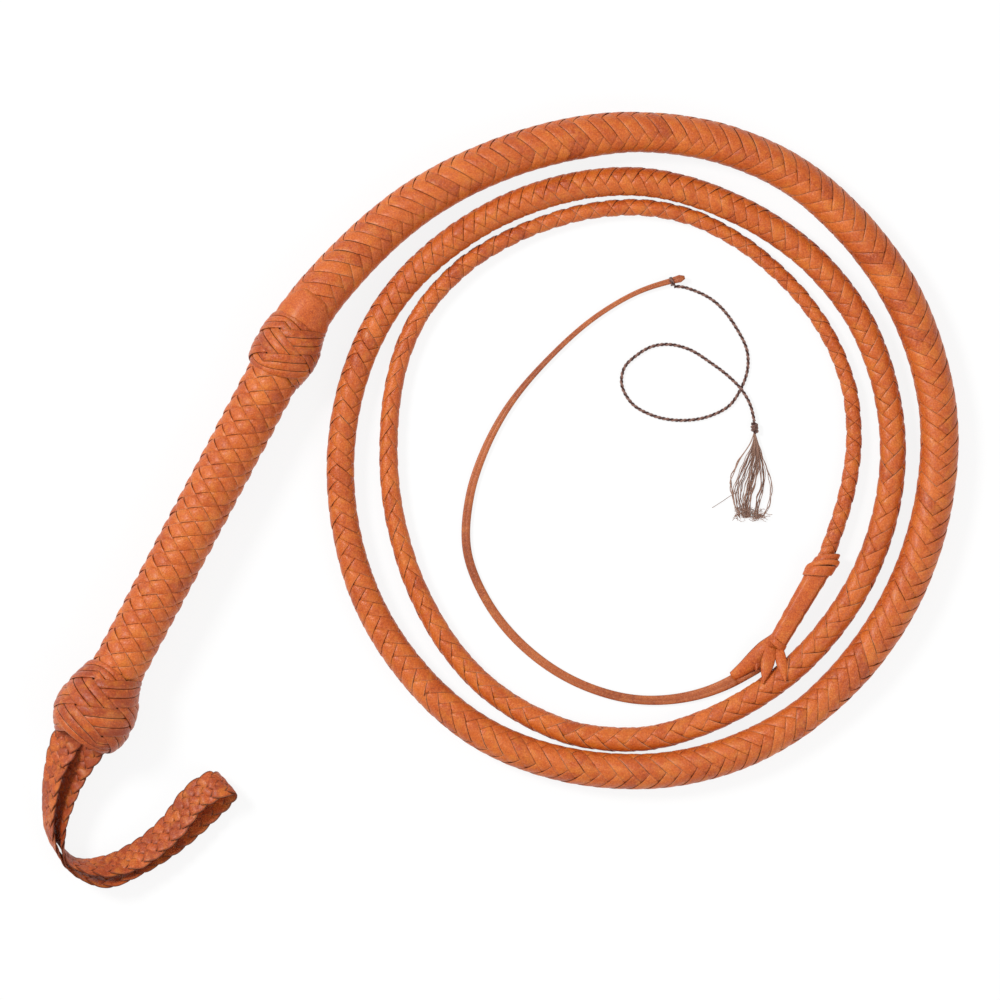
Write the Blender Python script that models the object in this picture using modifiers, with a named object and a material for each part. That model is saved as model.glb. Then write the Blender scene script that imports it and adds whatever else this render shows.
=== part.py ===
"""A plaited leather bullwhip, coiled flat: a steel-cored handle with two woven knots, a wrist loop,
a tapering thong, and the fall and cracker tied to its point.

Metres, +Z up, standing on z = 0. The handle's pieces are built along their own axis, from the
transition knot (z = 0) to the heel knot (z = handle_length), under one empty.
"""

import math

import bmesh
import bpy
from mathutils import Matrix, Vector

# Driving dimensions, in metres.
handle_length = 0.2050          # transition knot's centre to heel knot's centre
handle_diameter = 0.0265        # over the plait
strand_thickness = 0.0008
strand_cover = 0.72             # width of a handle strand, as a share of its lane
plait_pitch = 0.0490            # one full turn of a handle strand
strands_each_way = 6
rod_diameter = 0.0080

lace_thickness = 0.0009
layer_gap = 0.00045             # between two crossing strands or laces
knot_gap = 0.0006               # between the transition knot and the thong, which leaves it at a slant
clearance = 0.0003              # between pieces that touch on the real object
plait_tuck = 0.0055             # how far the handle's plait runs in under each knot
rod_seat = 0.0100               # how far the rod runs past each knot's centre

heel_leads, heel_bights = 5, 3
heel_start, heel_end = -0.0235, 0.0170          # along the handle, from the heel's centre
heel_neck_radius, heel_radius, heel_butt_radius = 0.0141, 0.0194, 0.0132
transition_leads, transition_bights = 4, 3
transition_start, transition_end = -0.0150, 0.0160
transition_front_radius, transition_radius, transition_back_radius = 0.0136, 0.0155, 0.0143
laces_in_band = 3
band_cover = 0.84               # width of a band of laces, as a share of its lane

strap_width = 0.0165
strap_thickness = 0.0024
strap_root_length = 0.0150

fall_thickness = 0.0022
cracker_diameter = 0.0013

fall_fold_start = 0.0200        # along the fall, past the hitch's tails
fall_fold_run = 0.0040
fall_fold_turn = math.radians(12)

# Where the handle lies: above which point its transition knot stands, and the heading of its heel.
knot_place = Vector((0.0520, 0.1254, 0.0))
handle_heading = math.radians(242.2)
ground_lift = 0.00002           # everything that lies on the surface just clears it

# The thong's centreline round its coil: the distance from the coil's centre every 30 degrees.
coil_centre = Vector((0.2280, 0.0744, 0.0))
coil_start_angle, coil_step_angle = 150, 30
coil_distances = [
    0.1749, 0.1623, 0.1588, 0.1566, 0.1514, 0.1486, 0.1495, 0.1556, 0.1605, 0.1616, 0.1559,
    0.1494, 0.1453, 0.1380, 0.1340, 0.1285, 0.1270, 0.1258, 0.1276, 0.1343, 0.1443, 0.1418,
    0.1309, 0.1259, 0.1293, 0.1240, 0.1213, 0.1143, 0.1096, 0.1065,
]
thong_point = Vector((0.3188, 0.0171, 0.0068))

# The thong's diameter against the distance from the handle.
thong_taper = [
    (0.000, 0.0252), (0.060, 0.0228), (0.120, 0.0215), (0.230, 0.0201), (0.560, 0.0188),
    (0.730, 0.0178), (0.800, 0.0160), (0.900, 0.0143), (1.280, 0.0138), (1.560, 0.0128),
    (1.640, 0.0118), (1.780, 0.0096), (1.890, 0.0086), (2.240, 0.0078),
]
square_end = 0.0015
thong_root_length = 0.0600
eight_plait_start = 0.8000
four_plait_start = 1.7800

hitch_heading = math.radians(239.8)
hitch_slope = -0.02
hitch_seat = 0.0012             # the ring stands off the thong's end, which meets it at an angle
hitch_ring_length, hitch_ring_radius = 0.0085, 0.0066
hitch_wrap_length = 0.0350
hitch_wrap_radius, hitch_wrap_end_radius = 0.0057, 0.0046
fall_eye_length, fall_eye_radius = 0.0062, 0.0056
tail_length, tail_width, tail_thickness = 0.0165, 0.0042, 0.0014
tail_root_rise = 0.0040
# Each tail's turn from straight ahead, its offset, and its rise at the middle and at the end.
hitch_tails = [
    (-24, -0.0048, 0.0064, 0.0096), (4, 0.0, 0.0084, 0.0102), (28, 0.0050, 0.0118, 0.0126),
]

# The fall's centreline, its width beside each point.
fall_route = [
    ((0.2917, -0.0284, 0.0048), 0.0060), ((0.2840, -0.0347, 0.0026), 0.0063),
    ((0.2604, -0.0465, 0.0014), 0.0054), ((0.2280, -0.0503, 0.0014), 0.0046),
    ((0.1969, -0.0419, 0.0014), 0.0045), ((0.1708, -0.0247, 0.0014), 0.0046),
    ((0.1518, -0.0019, 0.0014), 0.0045), ((0.1413, 0.0243, 0.0014), 0.0044),
    ((0.1427, 0.0515, 0.0014), 0.0043), ((0.1501, 0.0744, 0.0014), 0.0040),
    ((0.1596, 0.0927, 0.0014), 0.0036), ((0.1821, 0.1203, 0.0014), 0.0028),
    ((0.2094, 0.1438, 0.0014), 0.0026), ((0.2280, 0.1541, 0.0014), 0.0026),
    ((0.2454, 0.1596, 0.0014), 0.0030),
]

# The cracker's centreline. It crosses over itself near its end.
cracker_route = [
    (0.2506, 0.1596, 0.0030), (0.2635, 0.1499, 0.0009), (0.2760, 0.1354, 0.0009),
    (0.2815, 0.1229, 0.0009), (0.2815, 0.1149, 0.0009), (0.2780, 0.1049, 0.0009),
    (0.2725, 0.0969, 0.0009), (0.2635, 0.0919, 0.0009), (0.2485, 0.0894, 0.0009),
    (0.2340, 0.0919, 0.0009), (0.2235, 0.0981, 0.0009), (0.2185, 0.1084, 0.0009),
    (0.2200, 0.1159, 0.0009), (0.2260, 0.1219, 0.0009), (0.2340, 0.1264, 0.0009),
    (0.2415, 0.1274, 0.0009), (0.2510, 0.1254, 0.0009), (0.2635, 0.1179, 0.0012),
    (0.2725, 0.1109, 0.0022), (0.2783, 0.1049, 0.0028), (0.2825, 0.0979, 0.0022),
    (0.2848, 0.0889, 0.0022),
]
small_knot_radius = 0.0020
# The tassel's middle line, and its spread beside each point.
tassel_route = [
    ((0.2858, 0.0841, 0.0022), 0.0018), ((0.2851, 0.0736, 0.0014), 0.0100),
    ((0.2837, 0.0606, 0.0014), 0.0195), ((0.2825, 0.0496, 0.0014), 0.0165),
    ((0.2818, 0.0401, 0.0014), 0.0110),
]
tassel_thickness = 0.0024

# The wrist strap's centreline, out along its outer leg and back along its inner one, measured from
# the middle of the handle's butt and up from the surface, each with its lean: 0 and 180 lie flat,
# 90 stands on edge.
strap_route = [
    ((-0.0060, 0.0029, 0.0195), 50), ((-0.0130, -0.0128, 0.0165), 58),
    ((-0.0157, -0.0298, 0.0115), 70), ((-0.0149, -0.0468, 0.0092), 84),
    ((-0.0050, -0.0628, 0.0090), 84), ((0.0125, -0.0688, 0.0084), 62),
    ((0.0300, -0.0593, 0.0068), 42), ((0.0465, -0.0468, 0.0060), 34),
    ((0.0620, -0.0328, 0.0068), 42), ((0.0740, -0.0263, 0.0090), 76),
    ((0.0732, -0.0195, 0.0094), 90), ((0.0670, -0.0161, 0.0096), 104),
    ((0.0595, -0.0235, 0.0102), 128), ((0.0442, -0.0440, 0.0086), 146),
    ((0.0280, -0.0567, 0.0094), 138), ((0.0125, -0.0620, 0.0096), 116),
    ((-0.0003, -0.0575, 0.0096), 98), ((-0.0048, -0.0458, 0.0100), 94),
    ((-0.0058, -0.0298, 0.0130), 122), ((0.0000, -0.0145, 0.0175), 160),
    ((0.0051, -0.0029, 0.0200), 170),
]

plait_radius = handle_diameter / 2 - strand_thickness - layer_gap / 2   # between the two layers
strand_rise = (strand_thickness + layer_gap) / 2
core_radius = plait_radius - strand_rise - strand_thickness / 2 - clearance - layer_gap / 2
lace_rise = (lace_thickness + layer_gap) / 2
flat_section = ((1, 1), (-1, 1), (-1, -1), (1, -1))
skived_section = ((1, 1), (-1, 1), (0, -1))     # (side, face): thinned to both edges from below


def new_material(name, colour, roughness, metallic=0.0):
    made = bpy.data.materials.new(name)
    made.use_nodes = True
    shader = made.node_tree.nodes["Principled BSDF"]
    shader.inputs["Base Color"].default_value = (*colour, 1.0)
    shader.inputs["Roughness"].default_value = roughness
    shader.inputs["Metallic"].default_value = metallic
    return made


def add(name, data, colour, roughness=0.5, metallic=0.0, parent=None):
    """Each sub-part gets its own object and its own material."""
    obj = bpy.data.objects.new(name, data)
    parts.objects.link(obj)
    data.materials.append(new_material(name, colour, roughness, metallic))
    obj.parent = parent
    return obj


def wrapped_grid(name, along, around, place, closed, colour, parent=None):
    """A closed skin: place(i, j) puts corner j of section i. The ends are filled, or meet if closed."""
    shape = bmesh.new()
    rows = along if closed else along - 1
    bmesh.ops.create_grid(shape, x_segments=rows, y_segments=around, size=1)
    for vert in shape.verts:
        i = round((vert.co.x + 1) / 2 * rows) % along
        j = round((vert.co.y + 1) / 2 * around) % around
        vert.co = place(i, j)
    bmesh.ops.remove_doubles(shape, verts=shape.verts, dist=1e-6)
    bmesh.ops.holes_fill(shape, edges=[edge for edge in shape.edges if edge.is_boundary])
    bmesh.ops.triangulate(shape, faces=shape.faces, quad_method="SHORT_EDGE")
    bmesh.ops.recalc_face_normals(shape, faces=shape.faces)
    mesh = bpy.data.meshes.new(name)
    shape.to_mesh(mesh)
    shape.free()
    return add(name, mesh, colour, parent=parent)


def turned(name, profile, colour, roughness=0.6, metallic=0.0, parent=None, steps=28):
    """A profile of (radius, height) points, down its outer side first, turned about local Z."""
    closed = profile[0][0] > 0
    mesh = bpy.data.meshes.new(name)
    shape = bmesh.new()
    verts = [shape.verts.new((radius, 0, height)) for radius, height in profile]
    for upper, lower in zip(verts, verts[1:]):
        shape.edges.new((upper, lower))
    if closed:
        shape.edges.new((verts[-1], verts[0]))
    shape.to_mesh(mesh)
    shape.free()
    obj = add(name, mesh, colour, roughness, metallic, parent)
    screw = obj.modifiers.new("Turn", "SCREW")
    screw.steps = screw.render_steps = steps
    screw.use_merge_vertices = True
    screw.merge_threshold = 0.00001
    return obj


class Route:
    """A smooth curve through points of any size, measured along its length."""

    def __init__(self, points, first_heading=None, pieces=12):
        points = [Vector(point) for point in points]
        spans = [(b.resized(3) - a.resized(3)).length for a, b in zip(points, points[1:])]
        slopes = [(b - a) / span for a, b, span in zip(points, points[1:], spans)]
        middles = [
            (slopes[i] * spans[i + 1] + slopes[i + 1] * spans[i]) / (spans[i] + spans[i + 1])
            for i in range(len(spans) - 1)
        ]
        heads = [slopes[0] * 1.5 - middles[0] * 0.5] + middles + [slopes[-1] * 1.5 - middles[-1] * 0.5]
        if first_heading:
            heads[0] = first_heading
        self.points = [points[0]]
        for i, span in enumerate(spans):
            for k in range(1, pieces + 1):
                t = k / pieces
                self.points.append(
                    points[i] * (2 * t**3 - 3 * t**2 + 1)
                    + heads[i] * (span * (t**3 - 2 * t**2 + t))
                    + points[i + 1] * (3 * t**2 - 2 * t**3)
                    + heads[i + 1] * (span * (t**3 - t**2))
                )
        self.marks = [0.0]
        for a, b in zip(self.points, self.points[1:]):
            self.marks.append(self.marks[-1] + (b.resized(3) - a.resized(3)).length)
        self.length = self.marks[-1]

    def at(self, distance):
        for i, mark in enumerate(self.marks[1:]):
            if mark >= distance:
                share = (distance - self.marks[i]) / (mark - self.marks[i])
                return self.points[i].lerp(self.points[i + 1], share)
        return self.points[-1].copy()

    def heading(self, distance):
        step = self.length / 2000
        ahead = self.at(min(distance + step, self.length))
        behind = self.at(max(distance - step, 0.0))
        return (ahead - behind).resized(3).normalized()


def lookup(table, distance):
    for (start, low), (end, high) in zip(table, table[1:]):
        if distance <= end:
            return low + (high - low) * max(distance - start, 0.0) / (end - start)
    return table[-1][1]


def spaced(start, end, step):
    count = max(1, round((end - start) / step))
    return [start + (end - start) * k / count for k in range(count + 1)]


def tube(name, stations, colour, resolution=2):
    """A round cord through (point, diameter) stations."""
    curve = bpy.data.curves.new(name, "CURVE")
    curve.dimensions = "3D"
    curve.bevel_depth = 0.5
    curve.bevel_resolution = resolution
    curve.use_fill_caps = True
    spline = curve.splines.new("POLY")
    spline.points.add(len(stations) - 1)
    for control, (point, diameter) in zip(spline.points, stations):
        control.co = (*point, 1.0)
        control.radius = diameter
    return add(name, curve, colour)


def strap(name, stations, thickness, colour):
    """A flat band through (point, heading, width, lean in degrees) stations."""

    def corner(i, j):
        point, heading, width, lean = stations[i]
        level = heading.cross(Vector((0, 0, 1))).normalized()
        across = Matrix.Rotation(math.radians(-lean), 3, heading) @ level
        normal = across.cross(heading)
        side, face = flat_section[j]
        return point + across * (side * width / 2) + normal * (face * thickness / 2)

    return wrapped_grid(name, len(stations), 4, corner, False, colour)


def band(line, start, end, step, width=None):
    """A strap's stations along a route of (x, y, z, width), or of (x, y, z, lean) where a width is given."""
    stations = []
    for distance in spaced(start, end, step):
        point = line.at(distance)
        shape = (width, point[3]) if width else (point[3], 0)
        stations.append((point.resized(3), line.heading(distance), *shape))
    return stations


def folded_end(line, distance, fold):
    """A strap's section where it lifts, cut along the direction that it lifts about."""
    point = line.at(distance)
    upward = Vector((0, 0, 1))
    across = line.heading(distance).cross(upward).normalized()
    return point.resized(3), upward.cross(fold), point[3] / abs(across.dot(fold)), 0


def handle_strands():
    """Twelve strands, six each way, each over one and under one: a diamond plait.

    Lane p runs up to the right and lane q up to the left. Strand p meets strand q at angle
    pi (p + q) / 6 and height pitch (q - p) / 12, and goes over it where p + q is even.
    """
    lanes = 2 * strands_each_way
    start = transition_end - plait_tuck
    end = handle_length + heel_start + plait_tuck
    reach = strand_cover / 2

    def strand(number, lane, rightward):
        first = math.ceil(lane + lanes * start / plait_pitch)
        last = math.floor(lane + lanes * end / plait_pitch)
        stations = [(k, k + side * reach) for k in range(first, last + 1) for side in (-1, 1)]

        def corner(i, j):
            crossing, along = stations[i]
            side, face = skived_section[j]
            p = lane + side * reach if rightward else 2 * lane - along
            q = along if rightward else lane + side * reach
            over = (lane + crossing) % 2 == (0 if rightward else 1)
            radius = plait_radius + (strand_rise if over else -strand_rise)
            radius += face * strand_thickness / 2
            angle = math.pi * (p + q) / strands_each_way
            height = plait_pitch * (q - p) / lanes
            return Vector((radius * math.cos(angle), radius * math.sin(angle), height))

        name = f"handle_strand_{number:02d}"
        wrapped_grid(name, len(stations), 3, corner, False, cognac, handle_axis)

    for lane in range(strands_each_way):
        strand(lane + 1, lane, True)
        strand(lane + 1 + strands_each_way, lane, False)


def knot_outline(centre, start, end, radii):
    """The middle surface of a knot, from its thin front edge over its belly to its back edge."""
    front, belly, back = radii
    return Route([
        (front, 0, centre + start),
        (front * 0.72 + belly * 0.28, 0, centre + start * 0.74),
        (front * 0.28 + belly * 0.72, 0, centre + start * 0.42),
        (belly, 0, centre + (start + end) * 0.25),
        (belly * 0.72 + back * 0.28, 0, centre + end * 0.62),
        (back, 0, centre + end),
    ])


def woven_knot(name, outline, leads, bights):
    """A Turk's head of three laces side by side, woven over one and under one on an outline.

    The band bounces between the knot's edges while it goes round: its latitude is a rounded
    triangle wave of w, its angle is w leads / bights, and it crosses itself at each pi m / leads.
    """
    roundness = 0.985
    lane = math.pi / leads * band_cover / laces_in_band
    lace_reach = lane / 2 - clearance * math.pi / outline.length / 2
    overhang = lane * laces_in_band / 2 - math.acos(roundness)
    plateau = band_cover / 2

    def height(crossing, descending):
        return (1 if (crossing + descending) % 2 else -1) * lace_rise

    stations = []
    for half in range(2 * bights):
        for crossing in range(1, leads):
            for part in (-1, -1 / 3, 1 / 3, 1):
                w = (half + (crossing + part * plateau) / leads) * math.pi
                stations.append((w, height(crossing + half * leads, half % 2)))
        for part in (-0.3, 0.0, 0.3):
            stations.append(((half + 1 + part / leads) * math.pi, 0.0))

    def corner(offset, i, j):
        w, rise = stations[i]
        side, face = skived_section[j]
        shift = offset + side * lace_reach
        steepness = roundness * math.sin(w) / math.sqrt(1 - (roundness * math.cos(w)) ** 2)
        latitude = math.acos(roundness * math.cos(w)) + shift
        angle = (w - shift * steepness) * leads / bights
        share = (latitude + overhang) / (math.pi + 2 * overhang)
        distance = outline.length * min(max(share, 0.0), 1.0)
        point = outline.at(distance)
        heading = outline.heading(distance)
        radius = point.x + heading.z * (rise + face * lace_thickness / 2)
        level = point.z - heading.x * (rise + face * lace_thickness / 2)
        return Vector((radius * math.cos(angle), radius * math.sin(angle), level))

    for number in range(laces_in_band):
        offset = (number - (laces_in_band - 1) / 2) * lane
        wrapped_grid(
            f"{name}_lace_{number + 1}", len(stations), 3,
            lambda i, j, offset=offset: corner(offset, i, j), True, chestnut, handle_axis,
        )


def foundation(name, outline, start, end, bore_start, bore_end):
    """The leather built up under a knot, turned to its outline, with a blind bore for the rod."""
    inset = lace_rise + lace_thickness / 2 + clearance + layer_gap / 2
    outer = [outline.at(distance) for distance in spaced(0.0, outline.length, outline.length / 14)]
    outer = [(point.x - inset, point.z) for point in outer if start <= point.z <= end]
    outer.reverse()
    bore = rod_diameter / 2 + clearance
    if bore_end < end:
        profile = [(0.0, outer[0][1])] + outer
        profile += [(bore, outer[-1][1]), (bore, bore_end), (0.0, bore_end)]
    else:
        profile = [(0.0, bore_start), (bore, bore_start), (bore, outer[0][1])] + outer
        profile += [(0.0, outer[-1][1])]
    return turned(name, profile, undyed, 0.8, parent=handle_axis)


def thong_at(distance):
    """The thong's centreline: it comes down from the knot over its root, then lies on the surface."""
    point = thong_line.at(distance)
    lying = lookup(thong_taper, distance) / 2 + ground_lift
    share = min(distance / thong_root_length, 1.0)
    point.z = lying + (thong_start.z - lying) * (1 - share) ** 2 * (1 + 2 * share)
    return point


def thong_section(name, start, end, spacing, resolution=2):
    """One length of the thong, with points so many diameters apart and a square face at each end."""
    step = lookup(thong_taper, (start + end) / 2) * spacing
    distances = [start] + spaced(start + square_end, end - square_end, step) + [end]
    stations = [(thong_at(distance), lookup(thong_taper, distance)) for distance in distances]
    return tube(name, stations, cognac, resolution)


def rounded_collar(name, start, end, outer, colour, ease):
    """A short turned collar with eased shoulders."""
    middle = (start + end) / 2
    half = (end - start) / 2
    profile = [
        (0.0, end), (outer * (1 - ease), end), (outer * 0.93, middle + half * 0.62), (outer, middle),
        (outer * 0.93, middle - half * 0.62), (outer * (1 - ease), start), (0.0, start),
    ]
    return turned(name, profile, colour, 0.6, parent=hitch_axis, steps=14)


def small_knot(name, place, colour):
    """A cord's overhand knot, pulled tight."""
    mesh = bpy.data.meshes.new(name)
    shape = bmesh.new()
    bmesh.ops.create_uvsphere(shape, u_segments=10, v_segments=7, radius=small_knot_radius)
    bmesh.ops.translate(shape, verts=shape.verts, vec=place)
    shape.to_mesh(mesh)
    shape.free()
    mesh.shade_smooth()
    return add(name, mesh, colour)


def pivot(name, place, direction):
    """An empty on an axis, with its Z along it."""
    made = bpy.data.objects.new(name, None)
    parts.objects.link(made)
    made.matrix_world = Matrix.Translation(place) @ direction.to_track_quat("Z", "Y").to_matrix().to_4x4()
    return made


def carry(parent, objects):
    """Hangs objects on an empty without moving them."""
    for obj in objects:
        obj.parent = parent
        obj.matrix_parent_inverse = parent.matrix_world.inverted()


for old in list(bpy.data.objects):
    bpy.data.objects.remove(old, do_unlink=True)
parts = bpy.data.collections.new("bullwhip")
bpy.context.scene.collection.children.link(parts)

cognac = (0.52, 0.17, 0.045)
chestnut = (0.44, 0.12, 0.035)
undyed = (0.58, 0.40, 0.24)
twine = (0.16, 0.10, 0.07)
upward = Vector((0, 0, 1))

# The handle: a rod, a leather core, twelve plaited strands, and a knot woven over each end.
toward_heel = Vector((math.cos(handle_heading), math.sin(handle_heading), 0))
toward_heel = (toward_heel * handle_length + upward * (heel_radius - transition_radius)).normalized()
knot_centre = knot_place + upward * (transition_radius + lace_rise + lace_thickness / 2 + ground_lift)
handle_axis = pivot("handle_axis", knot_centre, toward_heel)

heel_outline = knot_outline(
    handle_length, heel_start, heel_end, (heel_neck_radius, heel_radius, heel_butt_radius)
)
transition_outline = knot_outline(
    0.0, transition_start, transition_end,
    (transition_front_radius, transition_radius, transition_back_radius),
)
core_start = transition_end - plait_tuck - clearance * 3
core_end = handle_length + heel_start + plait_tuck + clearance * 3

turned("handle_rod", [
    (0.0, handle_length + rod_seat), (rod_diameter / 2, handle_length + rod_seat),
    (rod_diameter / 2, -rod_seat), (0.0, -rod_seat),
], (0.55, 0.56, 0.58), 0.35, 1.0, handle_axis, 20)
turned("handle_core", [
    (core_radius, core_end), (core_radius, core_start),
    (rod_diameter / 2 + clearance, core_start), (rod_diameter / 2 + clearance, core_end),
], undyed, 0.8, parent=handle_axis, steps=24)
handle_strands()
foundation(
    "heel_foundation", heel_outline, core_end + clearance, handle_length + heel_end,
    core_end, handle_length + rod_seat + clearance,
)
foundation(
    "transition_foundation", transition_outline, transition_start, core_start - clearance,
    -rod_seat - clearance, core_start,
)
woven_knot("heel_knot", heel_outline, heel_leads, heel_bights)
woven_knot("transition_knot", transition_outline, transition_leads, transition_bights)

# The thong: a bare root, then twelve, eight and four strands. All but the root turns with the coil.
thong_start = knot_centre - toward_heel * (knot_gap - transition_start)
thong_points = [thong_start]
for number, distance in enumerate(coil_distances):
    angle = math.radians(coil_start_angle - coil_step_angle * number)
    thong_points.append(coil_centre + Vector((math.cos(angle), math.sin(angle), 0)) * distance)
thong_points.append(thong_point.copy())
for point in thong_points[1:]:
    point.z = thong_start.z
thong_line = Route(thong_points, -toward_heel)
thong_end = thong_line.length

thong = [
    thong_section("thong_root", 0.0, thong_root_length, 0.6, 3),
    thong_section("thong_twelve_plait", thong_root_length + clearance, eight_plait_start, 1.6, 3),
]
inner_thong = [
    thong_section("thong_eight_plait", eight_plait_start + clearance, four_plait_start, 1.9),
    thong_section("thong_four_plait", four_plait_start + clearance, thong_end, 2.2),
]
coil_pivot = pivot("coil_pivot", thong_start, toward_heel)
carry(coil_pivot, thong)
inner_coil_pivot = pivot(
    "inner_coil_pivot", thong_at(eight_plait_start), -thong_line.heading(eight_plait_start)
)
carry(coil_pivot, [inner_coil_pivot])
carry(inner_coil_pivot, inner_thong)

# The hitch that ties the fall to the thong's point: a ring, a bound body, the fall's eye, three tails.
hitch_direction = Vector((math.cos(hitch_heading), math.sin(hitch_heading), hitch_slope)).normalized()
hitch_axis = pivot("hitch_axis", thong_point, hitch_direction)
carry(inner_coil_pivot, [hitch_axis])
wrap_start = hitch_seat + hitch_ring_length + clearance
wrap_end = wrap_start + hitch_wrap_length
eye_start = wrap_end + clearance
eye_end = eye_start + fall_eye_length
rounded_collar("hitch_ring", hitch_seat, wrap_start - clearance, hitch_ring_radius, chestnut, 0.35)
turned("hitch_wrap", [
    (0.0, wrap_end), (hitch_wrap_end_radius, wrap_end), (hitch_wrap_radius, wrap_start), (0.0, wrap_start),
], cognac, parent=hitch_axis, steps=14)
rounded_collar("fall_eye", eye_start, eye_end, fall_eye_radius, chestnut, 0.25)

hitch_across = Vector((-hitch_direction.y, hitch_direction.x, 0))
tail_root = thong_point + hitch_direction * (eye_end + clearance * 5)
for number, (turn, offset, middle_rise, end_rise) in enumerate(hitch_tails, 1):
    heading = Matrix.Rotation(math.radians(turn), 3, "Z") @ Vector((0, -1, 0))
    root = tail_root + hitch_across * offset
    tail_line = Route([
        (*(root + upward * tail_root_rise), tail_width),
        (*(root + heading * (tail_length * 0.45) + upward * middle_rise), tail_width),
        (*(root + heading * tail_length + upward * end_rise), tail_width),
    ])
    tail_stations = band(tail_line, 0.0, tail_line.length, tail_length / 5)
    carry(inner_coil_pivot, [strap(f"hitch_tail_{number}", tail_stations, tail_thickness, cognac)])

# The fall: one long strap, cut square to the line that it lifts about.
fall_line = Route([(*point, width) for point, width in fall_route])
fold_direction = Vector((math.sin(fall_fold_turn), math.cos(fall_fold_turn), 0))
fall_fold = fall_line.at(fall_fold_start).resized(3) + upward * (fall_thickness / 2)
fall_pivot = pivot("fall_pivot", fall_fold, fold_direction)
carry(inner_coil_pivot, [fall_pivot])
fall_root = band(fall_line, 0.0, fall_fold_start - fall_fold_run, 0.0050)
fall_root.append(folded_end(fall_line, fall_fold_start - clearance, fold_direction))
fall_rest = [folded_end(fall_line, fall_fold_start + clearance, fold_direction)]
fall_rest += band(fall_line, fall_fold_start + fall_fold_run, fall_line.length, 0.0130)
carry(inner_coil_pivot, [strap("fall_root", fall_root, fall_thickness, chestnut)])
carry(fall_pivot, [strap("fall", fall_rest, fall_thickness, chestnut)])

# The cracker: a twisted cord tied to the fall's tip, which crosses itself, is knotted and ends in a tassel.
cracker_line = Route(cracker_route)
tassel_line = Route([(*point, width) for point, width in tassel_route])
hitch_knot = fall_line.at(fall_line.length).resized(3).lerp(cracker_line.at(0.0), 0.5)
tassel_knot = cracker_line.at(cracker_line.length).lerp(tassel_line.at(0.0).resized(3), 0.5)
cracker_pivot = pivot("cracker_pivot", hitch_knot, Vector((-1, 0, 0)))
carry(fall_pivot, [cracker_pivot])
carry(cracker_pivot, [
    small_knot("cracker_hitch", hitch_knot, chestnut),
    tube("cracker_cord", [
        (cracker_line.at(distance), cracker_diameter)
        for distance in spaced(0.0, cracker_line.length, 0.0060)
    ], twine),
    small_knot("cracker_knot", tassel_knot, twine),
    strap(
        "cracker_tassel", band(tassel_line, 0.0, tassel_line.length, 0.0050),
        tassel_thickness, (0.40, 0.30, 0.22),
    ),
])

# The wrist loop: one strap, doubled back. Its two ends go into the heel knot.
butt = knot_centre + toward_heel * (handle_length + heel_end)
strap_line = Route([(butt.x + x, butt.y + y, z, lean) for (x, y, z), lean in strap_route])
strap_end = strap_line.length
loop_start = strap_root_length + clearance
for name, start, end in (
    ("loop_root_outer", 0.0, strap_root_length),
    ("loop_root_inner", strap_end - strap_root_length, strap_end),
):
    strap(name, band(strap_line, start, end, 0.0040, strap_width), strap_thickness, cognac)
wrist_loop = strap(
    "wrist_loop", band(strap_line, loop_start, strap_end - loop_start, 0.0055, strap_width),
    strap_thickness, cognac,
)
loop_hinge = strap_line.at(strap_root_length / 2).lerp(strap_line.at(strap_end - strap_root_length / 2), 0.5)
loop_pivot = pivot("loop_pivot", loop_hinge.resized(3), toward_heel.cross(upward))
carry(loop_pivot, [wrist_loop])
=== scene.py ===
import math

import bmesh
import bpy
from mathutils import Matrix, Vector
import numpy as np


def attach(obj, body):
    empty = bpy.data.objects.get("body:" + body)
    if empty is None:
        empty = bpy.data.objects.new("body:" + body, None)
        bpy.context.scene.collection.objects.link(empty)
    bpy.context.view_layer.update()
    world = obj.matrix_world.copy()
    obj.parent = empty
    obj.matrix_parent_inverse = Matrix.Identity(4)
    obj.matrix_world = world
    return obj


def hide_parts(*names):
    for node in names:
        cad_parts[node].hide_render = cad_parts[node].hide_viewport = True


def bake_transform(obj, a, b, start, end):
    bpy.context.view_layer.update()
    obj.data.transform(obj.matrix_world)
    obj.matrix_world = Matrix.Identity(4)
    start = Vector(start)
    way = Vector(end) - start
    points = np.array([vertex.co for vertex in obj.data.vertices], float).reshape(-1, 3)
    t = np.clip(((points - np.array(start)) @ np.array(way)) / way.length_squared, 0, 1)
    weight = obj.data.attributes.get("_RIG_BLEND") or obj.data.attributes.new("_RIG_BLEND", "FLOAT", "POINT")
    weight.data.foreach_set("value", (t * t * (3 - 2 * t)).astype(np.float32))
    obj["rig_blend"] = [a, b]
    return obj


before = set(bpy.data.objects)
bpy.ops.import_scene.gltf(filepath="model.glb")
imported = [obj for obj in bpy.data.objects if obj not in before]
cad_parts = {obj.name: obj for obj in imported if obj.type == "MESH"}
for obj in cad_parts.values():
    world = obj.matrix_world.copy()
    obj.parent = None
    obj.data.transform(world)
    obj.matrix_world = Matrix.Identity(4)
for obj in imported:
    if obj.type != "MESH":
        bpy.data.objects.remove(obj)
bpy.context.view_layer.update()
scene = bpy.context.scene
whip = bpy.data.collections.new("whip")
scene.collection.children.link(whip)
print("frame loaded:", len(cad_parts), "nodes")

# camera, straight above, and long enough that nothing leans outwards

view = {"centre": (0.15775, 0.04960), "width": 0.500, "lens": 300, "sensor": 36.0}
camera = bpy.data.objects.new("camera", bpy.data.cameras.new("camera"))
scene.collection.objects.link(camera)
camera.data.lens = view["lens"]
camera.data.sensor_width = view["sensor"]
height = view["width"] * view["lens"] / view["sensor"]
camera.location = (*view["centre"], height)
camera.data.clip_start, camera.data.clip_end = 0.1, height * 3
scene.camera = camera
scene.view_settings.view_transform = "Standard"


# shader maths as expressions

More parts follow.
